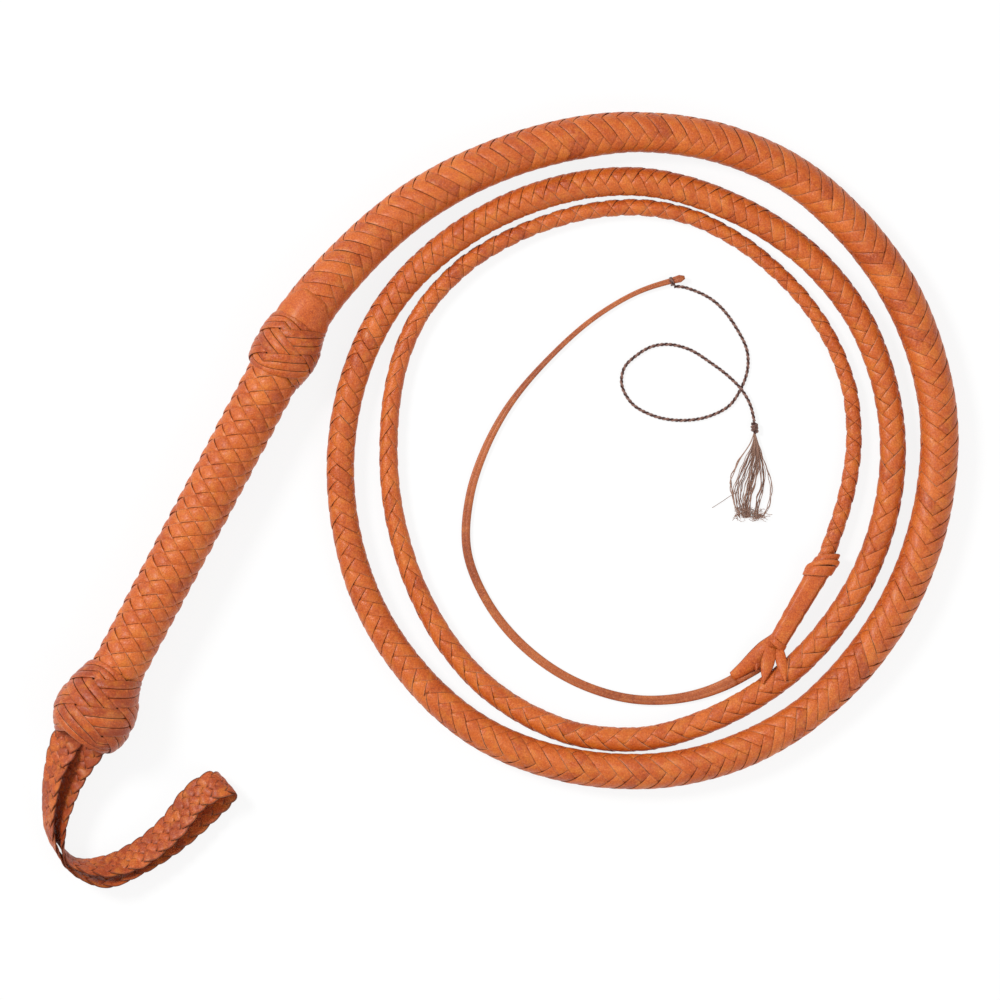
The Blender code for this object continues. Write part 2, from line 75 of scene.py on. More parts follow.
class Wire:
    def __init__(self, nodes, socket):
        self.nodes, self.socket = nodes, socket

    def maths(self, operation, *others):
        return self.nodes.node("ShaderNodeMath", {"operation": operation}, {
            i: value for i, value in enumerate((self, *others))})

    def __add__(self, other):
        return self.maths("ADD", other)

    def __mul__(self, other):
        return self.maths("MULTIPLY", other)

    def __sub__(self, other):
        return self.maths("SUBTRACT", other)

    def __rsub__(self, other):
        return self.nodes.node("ShaderNodeMath", {"operation": "SUBTRACT"}, {0: other, 1: self})

    def __pow__(self, other):
        return self.maths("POWER", other)

    __radd__, __rmul__ = __add__, __mul__

    def clamp(self):
        return self.nodes.node("ShaderNodeClamp", {}, {"Value": self})

    def remap(self, low, high):
        # 0 at low, 1 at high
        return self.nodes.node("ShaderNodeMapRange", {}, {"Value": self, "From Min": low, "From Max": high})


class Nodes:
    # the nodes of one material or world
    def __init__(self, tree):
        self.tree = tree

    def node(self, kind, settings, sockets, output=0):
        made = self.tree.nodes.new(kind)
        for key, value in settings.items():
            if key == "stops":
                ramp = made.color_ramp
                while len(ramp.elements) < len(value):
                    ramp.elements.new(0.5)
                for stop, (place, colour) in zip(ramp.elements, value):
                    stop.position, stop.color = place, (*colour, 1.0)
            else:
                setattr(made, key, value)
        for key, value in sockets.items():
            self.feed(made.inputs[key], value)
        return Wire(self, made.outputs[output])

    def feed(self, socket, value):
        if isinstance(value, Wire):
            self.tree.links.new(value.socket, socket)
        elif isinstance(value, tuple) and len(value) == 3 and socket.type == "RGBA":
            socket.default_value = (*value, 1.0)
        else:
            socket.default_value = value


class Paint(Nodes):
    # one material, its shader and its patterns
    def __init__(self, name, **constants):
        self.material = bpy.data.materials.new(name)
        self.material.use_nodes = True
        super().__init__(self.material.node_tree)
        self.shader = self.tree.nodes["Principled BSDF"]
        for key, value in constants.items():
            self.feed(self.shader.inputs[key.replace("_", " ")], value)

    def place(self):
        return self.node("ShaderNodeTexCoord", {}, {}, "Object")

    def lay(self, along, across):
        # the piece's own map: x runs along it and y round its section
        where = self.node("ShaderNodeUVMap", {"uv_map": "lay"}, {})
        return self.node("ShaderNodeMapping", {}, {"Vector": where, "Scale": (along, across, 1)})

    def noise(self, vector, scale, detail=3.0, rough=0.55, warp=0.0):
        return self.node("ShaderNodeTexNoise", {}, {
            "Vector": vector, "Scale": scale, "Detail": detail, "Roughness": rough, "Distortion": warp})

    def value(self, name):
        return self.node("ShaderNodeAttribute", {"attribute_name": name}, {}, "Fac")

    def mix(self, share, first, second):
        return self.node("ShaderNodeMix", {"data_type": "RGBA"}, {0: share, 6: first, 7: second}, 2)

    def wear(self, colour, rough, bump, strength, depth):
        normal = self.node("ShaderNodeBump", {}, {"Strength": strength, "Distance": depth, "Height": bump})
        for name, value in (("Base Color", colour), ("Roughness", rough), ("Normal", normal)):
            self.feed(self.shader.inputs[name], value)
        return self.material


# materials: every leather piece is the same dyed hide, cut, edged and handled differently

# seam is painted shade: the dark colour laid along strand edges, in the fall's crease and over the plait's
# core
hide = {
    "light": (0.660, 0.155, 0.018), "middle": (0.520, 0.092, 0.008), "deep": (0.300, 0.040, 0.004),
    "seam": (0.080, 0.014, 0.004), "worn": (0.72, 0.24, 0.075), "cut": (0.66, 0.34, 0.19),
    "gold": (0.700, 0.225, 0.024),
}
# seam here too is painted shade, for the fall's edges and its crease
fallHide = {
    "light": (0.515, 0.142, 0.038), "middle": (0.395, 0.092, 0.023), "deep": (0.250, 0.049, 0.012),
    "seam": (0.070, 0.014, 0.005), "worn": (0.60, 0.22, 0.09), "cut": (0.60, 0.30, 0.17),
    "gold": (0.560, 0.180, 0.045),
}
grain = {
    "cloud": 55, "gold": 150, "fine": 480, "speckle": 1150, "pores": 1500, "crease": (160, 2.2),
    "bump": 0.95, "depth": 0.00038,
}


def leather(name, tones, warmth=0.0, edge=0.86, gloss=0.40, seamShadeStrength=0.90):
    paint = Paint(name, Roughness=0.45, Specular_IOR_Level=0.36, Coat_Weight=0.09, Coat_Roughness=0.25)
    tone = paint.value("tone")
    side = paint.value("side").maths("ABSOLUTE")
    cloud = paint.noise(paint.place(), grain["cloud"], 3)
    gold = paint.noise(paint.place(), grain["gold"], 3, 0.6)
    fine = paint.noise(paint.place(), grain["fine"], 4, 0.6)
    speckle = paint.noise(paint.place(), grain["speckle"], 3, 0.7)
    creases = paint.noise(paint.lay(*grain["crease"]), 1.0, 4, 0.62, 0.6)
    pores = paint.node("ShaderNodeTexVoronoi", {"feature": "F1"}, {
        "Vector": paint.place(), "Scale": grain["pores"], "Randomness": 1.0}, "Distance")
    shade = (tone * 0.85 + cloud * 0.75 + fine * 0.60 + speckle * 1.50 - 1.395 + warmth).clamp()
    colour = paint.node("ShaderNodeValToRGB", {"stops": [
        (0.0, tones["deep"]), (0.45, tones["middle"]), (1.0, tones["light"])]}, {"Fac": shade})
    # rubbed faces, paler patches, creases and pores, then the cut edge and the dark seam beside it; the seam
    # colour along each strand's edge is painted shade for the grooves between strands
    shadedEdge = side.remap(edge, 0.99).clamp() ** 1.3
    worn = side.remap(0.35, 0.80) * (1 - shadedEdge) * 0.22
    cut = side.remap(0.86, 0.91).clamp() * side.remap(0.97, 0.93).clamp() * cloud.remap(0.48, 0.60).clamp()
    for share, shown in (
            (worn * fine.remap(0.35, 0.7), "worn"),
            (gold.remap(0.50, 0.66).clamp() * 0.40, "gold"),
            ((speckle.remap(0.56, 0.74) * 0.40).clamp(), "worn"),
            ((creases.remap(0.58, 0.76) * 0.36).clamp(), "deep"),
            (pores.remap(0.30, 0.70).clamp() * 0.34, "deep"),
            (cut * 0.45, "cut"),
            ((shadedEdge * seamShadeStrength).clamp(), "seam")):
        colour = paint.mix(share, colour, tones[shown])
    rough = (fine * 0.26 + creases * 0.16 + (gloss - 0.16)) + shadedEdge * 0.3
    bump = pores * 0.45 + fine * 0.50 + creases * 0.75 + speckle * 0.40
    return paint.wear(colour, rough.clamp(), bump, grain["bump"], grain["depth"])


def twine(name, dark, light):
    paint = Paint(name, Roughness=0.85, Specular_IOR_Level=0.2, Sheen_Weight=0.25)
    fibres = paint.noise(paint.lay(2600, 9), 1.0, 3, 0.6)
    fuzz = paint.noise(paint.place(), 900, 3)
    colour = paint.mix((paint.value("tone") * 0.85 + fibres * 0.4 - 0.2).clamp(), dark, light)
    colour = paint.mix(fuzz.remap(0.45, 0.75) * 0.35, colour, light)
    return paint.wear(colour, (fuzz * 0.2 + 0.7).clamp(), fibres + fuzz * 0.5, 0.6, 0.0001)


plaitLeather = leather("plaitedHide", hide, edge=0.89, gloss=0.38)
knotLeather = leather("knotHide", hide, warmth=-0.27, gloss=0.34, edge=0.92)
strapLeather = leather("strapHide", hide, warmth=-0.36, gloss=0.50, edge=0.66, seamShadeStrength=0.95)
smoothLeather = leather("smoothHide", hide, warmth=-0.02, gloss=0.50, edge=0.90, seamShadeStrength=0.5)
fallLeather = leather("fallHide", fallHide, gloss=0.42, edge=0.88, seamShadeStrength=0.55)
cordTwine = twine("twistedTwine", (0.042, 0.011, 0.008), (0.260, 0.138, 0.108))
fibreTwine = twine("tasselFibre", (0.135, 0.058, 0.040), (0.420, 0.245, 0.172))


# routes

class Route:
    # a smooth curve through points, measured along its length
    def __init__(self, points, firstHeading=None, pieces=12):
        points = [Vector(point) for point in points]
        spans = [(b.resized(3) - a.resized(3)).length for a, b in zip(points, points[1:])]
        slopes = [(b - a) / span for a, b, span in zip(points, points[1:], spans)]
        middles = [
            (slopes[i] * spans[i + 1] + slopes[i + 1] * spans[i]) / (spans[i] + spans[i + 1])
            for i in range(len(spans) - 1)]
        heads = [slopes[0] * 1.5 - middles[0] * 0.5] + middles + [slopes[-1] * 1.5 - middles[-1] * 0.5]
        if firstHeading:
            heads[0] = firstHeading
        self.points = [points[0]]
        for i, span in enumerate(spans):
            for k in range(1, pieces + 1):
                t = k / pieces
                self.points.append(
                    points[i] * (2 * t**3 - 3 * t**2 + 1) + heads[i] * (span * (t**3 - 2 * t**2 + t))
                    + points[i + 1] * (3 * t**2 - 2 * t**3) + heads[i + 1] * (span * (t**3 - t**2)))
        self.marks = [0.0]
        for a, b in zip(self.points, self.points[1:]):
            self.marks.append(self.marks[-1] + (b.resized(3) - a.resized(3)).length)
        self.length = self.marks[-1]
        self.last = 0

    def at(self, distance):
        distance = min(max(distance, 0.0), self.length)
        i = self.last
        while i > 0 and self.marks[i] > distance:
            i -= 1
        while i < len(self.marks) - 2 and self.marks[i + 1] < distance:
            i += 1
        self.last = i
        share = (distance - self.marks[i]) / (self.marks[i + 1] - self.marks[i])
        return self.points[i] * (1 - share) + self.points[i + 1] * share

    def heading(self, distance, step=0.0012):
        ahead = self.at(min(distance + step, self.length)).resized(3)
        return (ahead - self.at(max(distance - step, 0.0)).resized(3)).normalized()


def lookup(table, distance):
    for (start, low), (end, high) in zip(table, table[1:]):
        if distance <= end:
            return low + (high - low) * max(distance - start, 0.0) / (end - start)
    return table[-1][1]


def chance(*seeds):
    # the same number from 0 to 1 for the same seeds
    total = sum(seed * weight for seed, weight in zip(seeds, (12.9898, 78.233, 37.719)))
    return math.sin(total) * 43758.5453 % 1


def ease(share):
    share = min(max(share, 0.0), 1.0)
    return share * share * (3 - 2 * share)


def weave(over, along, dive):
    # how high a strand lies between two crossings: 1 is over, -1 under
    crossing = math.floor(along)
    blend = ease((along - crossing - 0.5) / dive + 0.5)
    return over(crossing) * (1 - blend) + over(crossing + 1) * blend


def edgeWeave(strands, crossing):
    # over or under inside a flat weave, and level where a strand turns at its edge
    half, index = divmod(crossing, strands)
    if index == 0:
        return 0.0
    return 1.0 if (crossing + half) % 2 else -1.0


def levelFrame(heading):
    # the level way across a heading, and the way that is upright from both
    across = heading.cross(Vector((0, 0, 1))).normalized()
    return across, across.cross(heading)


# one soft-edged strip of leather: a grid whose corners are put round a section, row by row

softSection = [
    (-1.0, -0.30), (-0.99, 0.30), (-0.90, 0.66), (-0.50, 0.93), (0.0, 1.0),
    (0.50, 0.93), (0.90, 0.66), (0.99, 0.30), (1.0, -0.30)]


def newMesh():
    shape = bmesh.new()
    shape.loops.layers.uv.new("lay")
    shape.verts.layers.float.new("tone")
    shape.verts.layers.float.new("side")
    return shape


def strip(shape, rows, around, place, length, closed=False):
    # place(row, corner) gives a point, its tone, and how far it is from the middle of the face
    spans = rows if closed else rows - 1
    grid = bmesh.ops.create_grid(shape, x_segments=spans, y_segments=around, size=1, calc_uvs=True)
    toneLayer = shape.verts.layers.float["tone"]
    sideLayer = shape.verts.layers.float["side"]
    lay = shape.loops.layers.uv["lay"]
    for vert in grid["verts"]:
        row = round((vert.co.x + 1) / 2 * spans) % rows
        corner = round((vert.co.y + 1) / 2 * around) % around
        vert.co, vert[toneLayer], vert[sideLayer] = place(row, corner)
        for loop in vert.link_loops:
            loop[lay].uv.x *= length
    bmesh.ops.remove_doubles(shape, verts=grid["verts"], dist=1e-7)
    if not closed:
        live = [vert for vert in grid["verts"] if vert.is_valid]
        rims = {edge for vert in live for edge in vert.link_edges if edge.is_boundary}
        bmesh.ops.holes_fill(shape, edges=list(rims))


def finish(name, shape, material, body, nodes=()):
    bmesh.ops.recalc_face_normals(shape, faces=shape.faces)
    mesh = bpy.data.meshes.new(name)
    shape.to_mesh(mesh)
    shape.free()
    mesh.shade_smooth()
    mesh.materials.append(material)
    piece = bpy.data.objects.new(name, mesh)
    whip.objects.link(piece)
    if body:
        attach(piece, body)
    if nodes:
        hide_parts(*nodes)
    return piece


# the thong: its centreline as in the model, and how its plait turns round it

thong = {
    "start": (0.059274, 0.139197, 0.016348), "heading": (0.466302, 0.884421, -0.019021),
    "centre": (0.2280, 0.0744, 0.0), "startAngle": 150, "stepAngle": 30,
    "distances": [
        0.1749, 0.1623, 0.1588, 0.1566, 0.1514, 0.1486, 0.1495, 0.1556, 0.1605, 0.1616, 0.1559,
        0.1494, 0.1453, 0.1380, 0.1340, 0.1285, 0.1270, 0.1258, 0.1276, 0.1343, 0.1443, 0.1418,
        0.1309, 0.1259, 0.1293, 0.1240, 0.1213, 0.1143, 0.1096, 0.1065],
    "point": (0.3188, 0.0171, 0.0068),
    "taper": [
        (0.00, 0.0262), (0.02, 0.0248), (0.04, 0.0238), (0.08, 0.0225), (0.12, 0.0215), (0.17, 0.0215),
        (0.20, 0.0202), (0.28, 0.0200), (0.36, 0.0201), (0.40, 0.0192), (0.52, 0.0194), (0.56, 0.0186),
        (0.59, 0.0172), (0.63, 0.0181), (0.72, 0.0177), (0.77, 0.0167), (0.80, 0.0160), (0.86, 0.0151),
        (0.89, 0.0142), (0.96, 0.0138), (1.02, 0.0140), (1.09, 0.0147), (1.18, 0.0145), (1.26, 0.0142),
        (1.32, 0.0132), (1.44, 0.0134), (1.52, 0.0126), (1.60, 0.0123), (1.66, 0.0113), (1.74, 0.0100),
        (1.79, 0.0093), (1.84, 0.0092), (1.88, 0.0093), (1.92, 0.0082), (1.98, 0.0087), (2.04, 0.0080),
        (2.10, 0.0077), (2.16, 0.0083), (2.24, 0.0084)],
    # how far it strays outwards from the curve through its points
    "sway": [
        (0.00, 0.0000), (0.04, 0.0000), (0.08, 0.0005), (0.12, -0.0001), (0.17, -0.0005), (0.20, -0.0001),
        (0.24, 0.0007), (0.27, 0.0004), (0.31, -0.0004), (0.37, 0.0000), (0.42, 0.0008), (0.46, 0.0000),
        (0.58, -0.0001), (0.64, 0.0006), (0.69, -0.0003), (0.76, 0.0002), (0.88, 0.0000), (0.96, 0.0004),
        (1.00, 0.0000), (1.12, 0.0002), (1.20, -0.0002), (1.25, 0.0006), (1.30, 0.0001), (1.40, 0.0002),
        (1.48, -0.0001), (1.54, -0.0008), (1.57, 0.0000), (1.60, 0.0013), (1.64, 0.0001), (1.68, 0.0004),
        (1.73, -0.0003), (1.80, 0.0002), (1.84, -0.0001), (1.885, 0.0013), (1.93, 0.0000), (1.965, -0.0003),
        (2.005, 0.0009), (2.05, -0.0005), (2.09, 0.0000), (2.125, 0.0010), (2.165, -0.0006), (2.21, 0.0000)],
    "rootLength": 0.0600, "lift": 0.00002, "grid": 0.0005, "spacing": 0.006,
    # the angle round the thong, from its top outwards, of the seam that its strands lean away from
    "seam": [
        (0.00, 70), (0.04, 68), (0.06, 58), (0.10, 50), (0.12, 57), (0.17, 65), (0.19, 64), (0.21, 76),
        (0.235, 76), (0.26, 88), (0.31, 90), (0.34, 98), (0.36, 104), (0.39, 102), (0.42, 97), (0.45, 99),
        (0.48, 109), (0.51, 113), (0.54, 120), (0.565, 146), (0.60, 154), (0.62, 178), (0.65, 203),
        (0.70, 204), (0.73, 212), (0.75, 228), (0.77, 248), (0.80, 270), (0.85, 272), (0.87, 280),
        (0.89, 290), (0.92, 308), (0.98, 318), (1.00, 323), (1.02, 335), (1.04, 347), (1.08, 355),
        (1.12, 366), (1.16, 375), (1.20, 395), (1.24, 428), (1.40, 432), (1.43, 440), (1.46, 443),
        (1.48, 455), (1.53, 462), (1.55, 450), (1.58, 455), (1.68, 450), (1.72, 438), (1.76, 442),
        (1.80, 448), (1.84, 432), (1.90, 405), (2.00, 405), (2.06, 410), (2.24, 415)],
}
thongPoints = [Vector(thong["start"])]
for number, distance in enumerate(thong["distances"]):
    angle = math.radians(thong["startAngle"] - thong["stepAngle"] * number)
    place = Vector(thong["centre"]) + Vector((math.cos(angle), math.sin(angle), 0)) * distance
    thongPoints.append(Vector((place.x, place.y, thong["start"][2])))
thongPoints.append(Vector((*thong["point"][:2], thong["start"][2])))
thongLine = Route(thongPoints, Vector(thong["heading"]))


def thongAt(distance):
    point = thongLine.at(distance)
    if distance > 0:
        heading = thongLine.heading(distance)
        point += Vector((-heading.y, heading.x, 0)) * lookup(thong["sway"], distance)
    lying = lookup(thong["taper"], distance) / 2 + thong["lift"]
    share = min(distance / thong["rootLength"], 1.0)
    point.z = lying + (thong["start"][2] - lying) * (1 - share) ** 2 * (1 + 2 * share)
    return point


def thongFrame(distance):
    # a place on the thong, its heading, and the ways that are outwards and up there
    base = max(distance, 0.0)
    heading = (thongAt(base + 0.001) - thongAt(base - 0.001)).normalized()
    outward = Vector((0, 0, 1)).cross(heading).normalized()
    return thongAt(base) + heading * (distance - base), heading, outward, heading.cross(outward)


def plaitedLength(name, plait, body, nodes):
    # strands that run both ways round the thong, each over half a quarter turn and then under
    shape = newMesh()
    turns, thick, cover = plait["turns"], plait["thick"], plait["cover"]
    start, end = turns[0][1], turns[-1][1]
    ways = plait["strands"] // 2
    lanes = 2 * ways
    run = ways // 2
    frames = {}

    def frameAt(distance):
        key = round(distance / thong["grid"])
        if key not in frames:
            spot = key * thong["grid"]
            frames[key] = (*thongFrame(spot), spot, lookup(thong["taper"], spot) / 2,
                           math.radians(lookup(thong["seam"], spot)))
        return frames[key]

    def put(distance, turn, depth):
        point, heading, outward, up, spot, radius, seam = frameAt(distance)
        angle = turn + seam
        out = radius - depth
        return (point + heading * (distance - spot)
                + up * (math.cos(angle) * out) + outward * (math.sin(angle) * out))

    def strand(lane, rightward):
        first = lane - 1
        last = math.ceil(lane + lanes * turns[-1][0]) + 1
        steps = [k + part for k in range(first, last) for part in plait["rows"]] + [last]
        own = chance(lane, rightward, plait["strands"])
        widen = cover / 2 * (0.97 + 0.06 * own)

        def crossed(along):
            # which crossing this is, counted the same for both strands that meet there
            return lane + along if rightward else 3 * lane - along

        def over(k):
            block = math.floor(crossed(k) / run) % 2
            return 1.0 if block == (0 if rightward else 1) else -1.0

        def place(row, corner):
            along = steps[row]
            side, face = softSection[corner]
            level = weave(over, along, plait["dive"])
            block = math.floor((crossed(along) - (0 if rightward else run)) / run / 2 + 0.25)
            drift = 0.04 * (chance(lane + 9 * rightward, block) - 0.5)
            spread = side * widen + drift
            # p and q count the lattice's lanes both ways round
            p = lane + spread if rightward else 2 * lane - along
            q = along if rightward else lane + spread
            distance = lookup(turns, (q - p) / lanes)
            turn = math.pi * (p + q + 0.5) / ways
            depth = thick * (1.02 - level * 0.5) - face * thick / 2
            depth += thick * 0.12 * (chance(block, lane, rightward) - 0.5) + side * plait["lap"]
            depth += plait["tuck"] * (1 - ease((distance - start) / 0.0030))
            tone = 0.25 + 0.5 * chance(lane, block, 3 + rightward) + 0.25 * own
            return put(distance, turn, depth), tone, abs(side)

        strip(shape, len(steps), len(softSection), place, end - start)

    for lane in range(ways):
        strand(lane, 1)
        strand(lane, 0)
    # the core: a dark tube just under the strands, given tone 0 and side 1 so it takes the full seam colour;
    # painted shade that fills the gaps between strands
    coreRows = round((end - start) / thong["spacing"])

    def shadedCorePlace(row, corner):
        distance = start + (end - start) * row / (coreRows - 1)
        return put(distance, corner * math.pi / 6, thick * 1.9), 0.0, 1.0

    strip(shape, coreRows, 12, shadedCorePlace, end - start)
    piece = finish(name, shape, plaitLeather, body, nodes)
    length = end - plait["exit"]
    count = round(length / thong["spacing"])
    path = [thongAt(plait["exit"] + length * k / count) for k in range(count + 1)]
    print("plaited", name, len(piece.data.polygons), "faces")
    return piece


# turns gives how often a strand has gone round by each distance along the thong
outerPlait = {
    "strands": 12, "exit": 0.0, "thick": 0.00095, "cover": 1.03, "lap": 0.00014, "tuck": 0.0, "dive": 0.36,
    "rows": (0, 0.34, 0.5, 0.66), "diameter": 0.0195,
    "turns": [(0, 0.0003), (5.95, 0.2500), (15.27, 0.6600), (18.16, 0.7998)]}
middlePlait = {
    "strands": 8, "exit": 0.8000, "thick": 0.00110, "cover": 1.03, "lap": 0.00013, "tuck": 0.0016,
    "dive": 0.42, "rows": (0, 0.28, 0.42, 0.58, 0.72), "diameter": 0.0132,
    "turns": [(0, 0.7965), (5.73, 0.9800), (14.96, 1.2200), (19.15, 1.3500), (31.97, 1.8500)]}
innerPlait = {
    "strands": 4, "exit": 1.8500, "thick": 0.00095, "cover": 1.02, "lap": 0.00008, "tuck": 0.0014,
    "dive": 0.5, "rows": (0, 0.14, 0.28, 0.40, 0.50, 0.60, 0.72, 0.86), "diameter": 0.0086,
    "turns": [(0, 1.8465), (20.63, thongLine.length)]}
plaitedLength("thongOuterPlait", outerPlait, "coil", ("thong_root", "thong_twelve_plait"))
plaitedLength("thongMiddlePlait", middlePlait, "inner_coil", ("thong_eight_plait",))
plaitedLength("thongInnerPlait", innerPlait, "inner_coil", ("thong_four_plait",))

# the handle: twelve strands, six each way, over one and under one

handle = {
    "knot": (0.0520, 0.1254, 0.016645), "toHeel": tuple(-part for part in thong["heading"]),
    "length": 0.2050,
    "diameter": 0.0265, "thick": 0.00125, "pitch": 0.0490, "ways": 6, "cover": 1.02,
    "start": 0.0105, "end": 0.1870, "dive": 0.62,
    "rows": (0, 0.13, 0.26, 0.38, 0.50, 0.62, 0.74, 0.87),
    # how far a strand bulges at each crossing, strays at random, and laps its neighbour
    "bulge": 0.00016, "stray": 0.00022, "lap": 0.00016,
}


def axisAt(point, direction):
    # a matrix that puts a piece made along z at a point, along a direction
    turned = Vector(direction).to_track_quat("Z", "Y").to_matrix().to_4x4()
    return Matrix.Translation(point) @ turned


handleAxis = axisAt(handle["knot"], handle["toHeel"])


def handleStrand(number, lane, rightward):
    shape = newMesh()
    ways, pitch = handle["ways"], handle["pitch"]
    lanes = 2 * ways
    first = math.ceil(lane + lanes * handle["start"] / pitch)
    last = math.floor(lane + lanes * handle["end"] / pitch)
    steps = [k + part for k in range(first, last) for part in handle["rows"]] + [last]
    own = chance(number, 5)

    def over(k):
        return 1.0 if (lane + k) % 2 == (0 if rightward else 1) else -1.0

    def place(row, corner):
        along = steps[row]
        side, face = softSection[corner]
        level = weave(over, along, handle["dive"])
        crossing = round((along - (lane + 1 - rightward) % 2) / 2)
        lift = 1 - min(abs(along - round(along)) * 2, 1) ** 2
        spread = side * handle["cover"] / 2 * (0.97 + 0.06 * chance(number, crossing))
        p = lane + spread if rightward else 2 * lane - along
        q = along if rightward else lane + spread
        turn = math.pi * (p + q) / ways
        out = handle["diameter"] / 2 - handle["thick"] * (0.92 - level * 0.38) + face * handle["thick"] / 2
        out += handle["bulge"] * lift * level - side * handle["lap"]
        out += handle["stray"] * (chance(crossing, number, 2) - 0.5)
        tone = 0.25 + 0.55 * chance(number, crossing, 8) + 0.2 * own
        local = Vector((out * math.cos(turn), out * math.sin(turn), pitch * (q - p) / lanes))
        return handleAxis @ local, tone, abs(side)

    strip(shape, len(steps), len(softSection), place, handle["end"] - handle["start"])
    return finish(f"handleStrand{number:02d}", shape, plaitLeather, "handle",
                  (f"handle_strand_{number:02d}",))


for lane in range(handle["ways"]):
    handleStrand(lane + 1, lane, True)
    handleStrand(lane + 1 + handle["ways"], lane, False)
print("handle plaited")

# the two knots, each three laces woven side by side

knots = {
    "heel": {
        "centre": handle["length"], "start": -0.0240, "end": 0.0170, "radii": (0.0132, 0.0194, 0.0132),
        "leads": 5, "bights": 3},
    "transition": {
        "centre": 0.0, "start": -0.0150, "end": 0.0160, "radii": (0.0132, 0.0155, 0.0134),
        "leads": 4, "bights": 3},
    "cover": 0.97, "laces": 3, "thick": 0.0013, "roundness": 0.985, "dive": 0.5, "rowsPerLead": 10,
}


def knotOutline(knot):
    front, belly, back = knot["radii"]
    centre, start, end = knot["centre"], knot["start"], knot["end"]
    return Route([
        (front, 0, centre + start), (front * 0.72 + belly * 0.28, 0, centre + start * 0.74),
        (front * 0.28 + belly * 0.72, 0, centre + start * 0.42), (belly, 0, centre + (start + end) * 0.25),
        (belly * 0.72 + back * 0.28, 0, centre + end * 0.62), (back, 0, centre + end)])


def knotLace(name, knot, number, node):
    shape = newMesh()
    leads, bights = knot["leads"], knot["bights"]
    roundness, thick = knots["roundness"], knots["thick"]
    outline = knotOutline(knot)
    lane = math.pi / leads * knots["cover"] / knots["laces"]
    overhang = lane * knots["laces"] / 2 - math.acos(roundness)
    offset = (number - (knots["laces"] - 1) / 2) * lane
    crossings = 2 * bights * leads

    def over(crossing):
        return edgeWeave(leads, crossing % crossings)

    def place(row, corner):
        along = row / knots["rowsPerLead"]
        side, face = softSection[corner]
        way = along / leads * math.pi
        shift = offset + side * lane / 2 * 0.97
        steep = roundness * math.sin(way) / math.sqrt(1 - (roundness * math.cos(way)) ** 2)
        latitude = math.acos(roundness * math.cos(way)) + shift
        angle = (way - shift * steep) * leads / bights
        share = min(max((latitude + overhang) / (math.pi + 2 * overhang), 0.0), 1.0)
        distance = outline.length * share
        point, heading = outline.at(distance), outline.heading(distance)
        lift = (weave(over, along, knots["dive"]) + face) * thick / 2 - 0.0001
        radius = point.x + heading.z * lift
        tone = 0.2 + 0.35 * chance(number, leads) + 0.45 * chance(number, along // leads, leads)
        local = Vector((radius * math.cos(angle), radius * math.sin(angle), point.z - heading.x * lift))
        return handleAxis @ local, tone, abs(side)

    strip(shape, crossings * knots["rowsPerLead"], len(softSection), place, 0.4, closed=True)
    return finish(name, shape, knotLeather, "handle", (node,))


for number in range(knots["laces"]):
    for knot in ("heel", "transition"):
        knotLace(f"{knot}Lace{number + 1}", knots[knot], number, f"{knot}_knot_lace_{number + 1}")
print("knots woven")

# the smooth patch that covers the start of the thong's plait

patch = {
    "reach": 0.0130, "under": -0.0030, "collar": 0.0032, "middle": 4, "spread": 66, "rise": 0.0005,
    "rows": 14, "around": 48,
    # how far the first row and the last two sink into the plait
    "sunk": {0: 0.0020, 12: 0.0006, 13: 0.0020},
}


def patchPlace(row, corner):
    turn = corner * math.tau / patch["around"]
    off = (math.degrees(turn) - patch["middle"] + 180) % 360 - 180
    tongue = 1 - ease(abs(off) / patch["spread"] - 0.35)
    reach = patch["collar"] + (patch["reach"] - patch["collar"]) * tongue
    share = min(max((row - 1) / (patch["rows"] - 4), 0.0), 1.0)
    distance = patch["under"] + (reach - patch["under"]) * share
    thin = ease((share - 0.72) / 0.28) * 0.85
    out = lookup(thong["taper"], distance) / 2 + patch["rise"] * (1 - thin) - patch["sunk"].get(row, 0.0)
    point, heading, outward, up = thongFrame(distance)
    return point + up * (math.cos(turn) * out) + outward * (math.sin(turn) * out), 0.62, share * 0.9


shape = newMesh()
strip(shape, patch["rows"], patch["around"], patchPlace, patch["reach"])
finish("rootPatch", shape, smoothLeather, "coil")

# the wrist strap: five strands in a flat plait, doubled back, with both ends in the heel knot

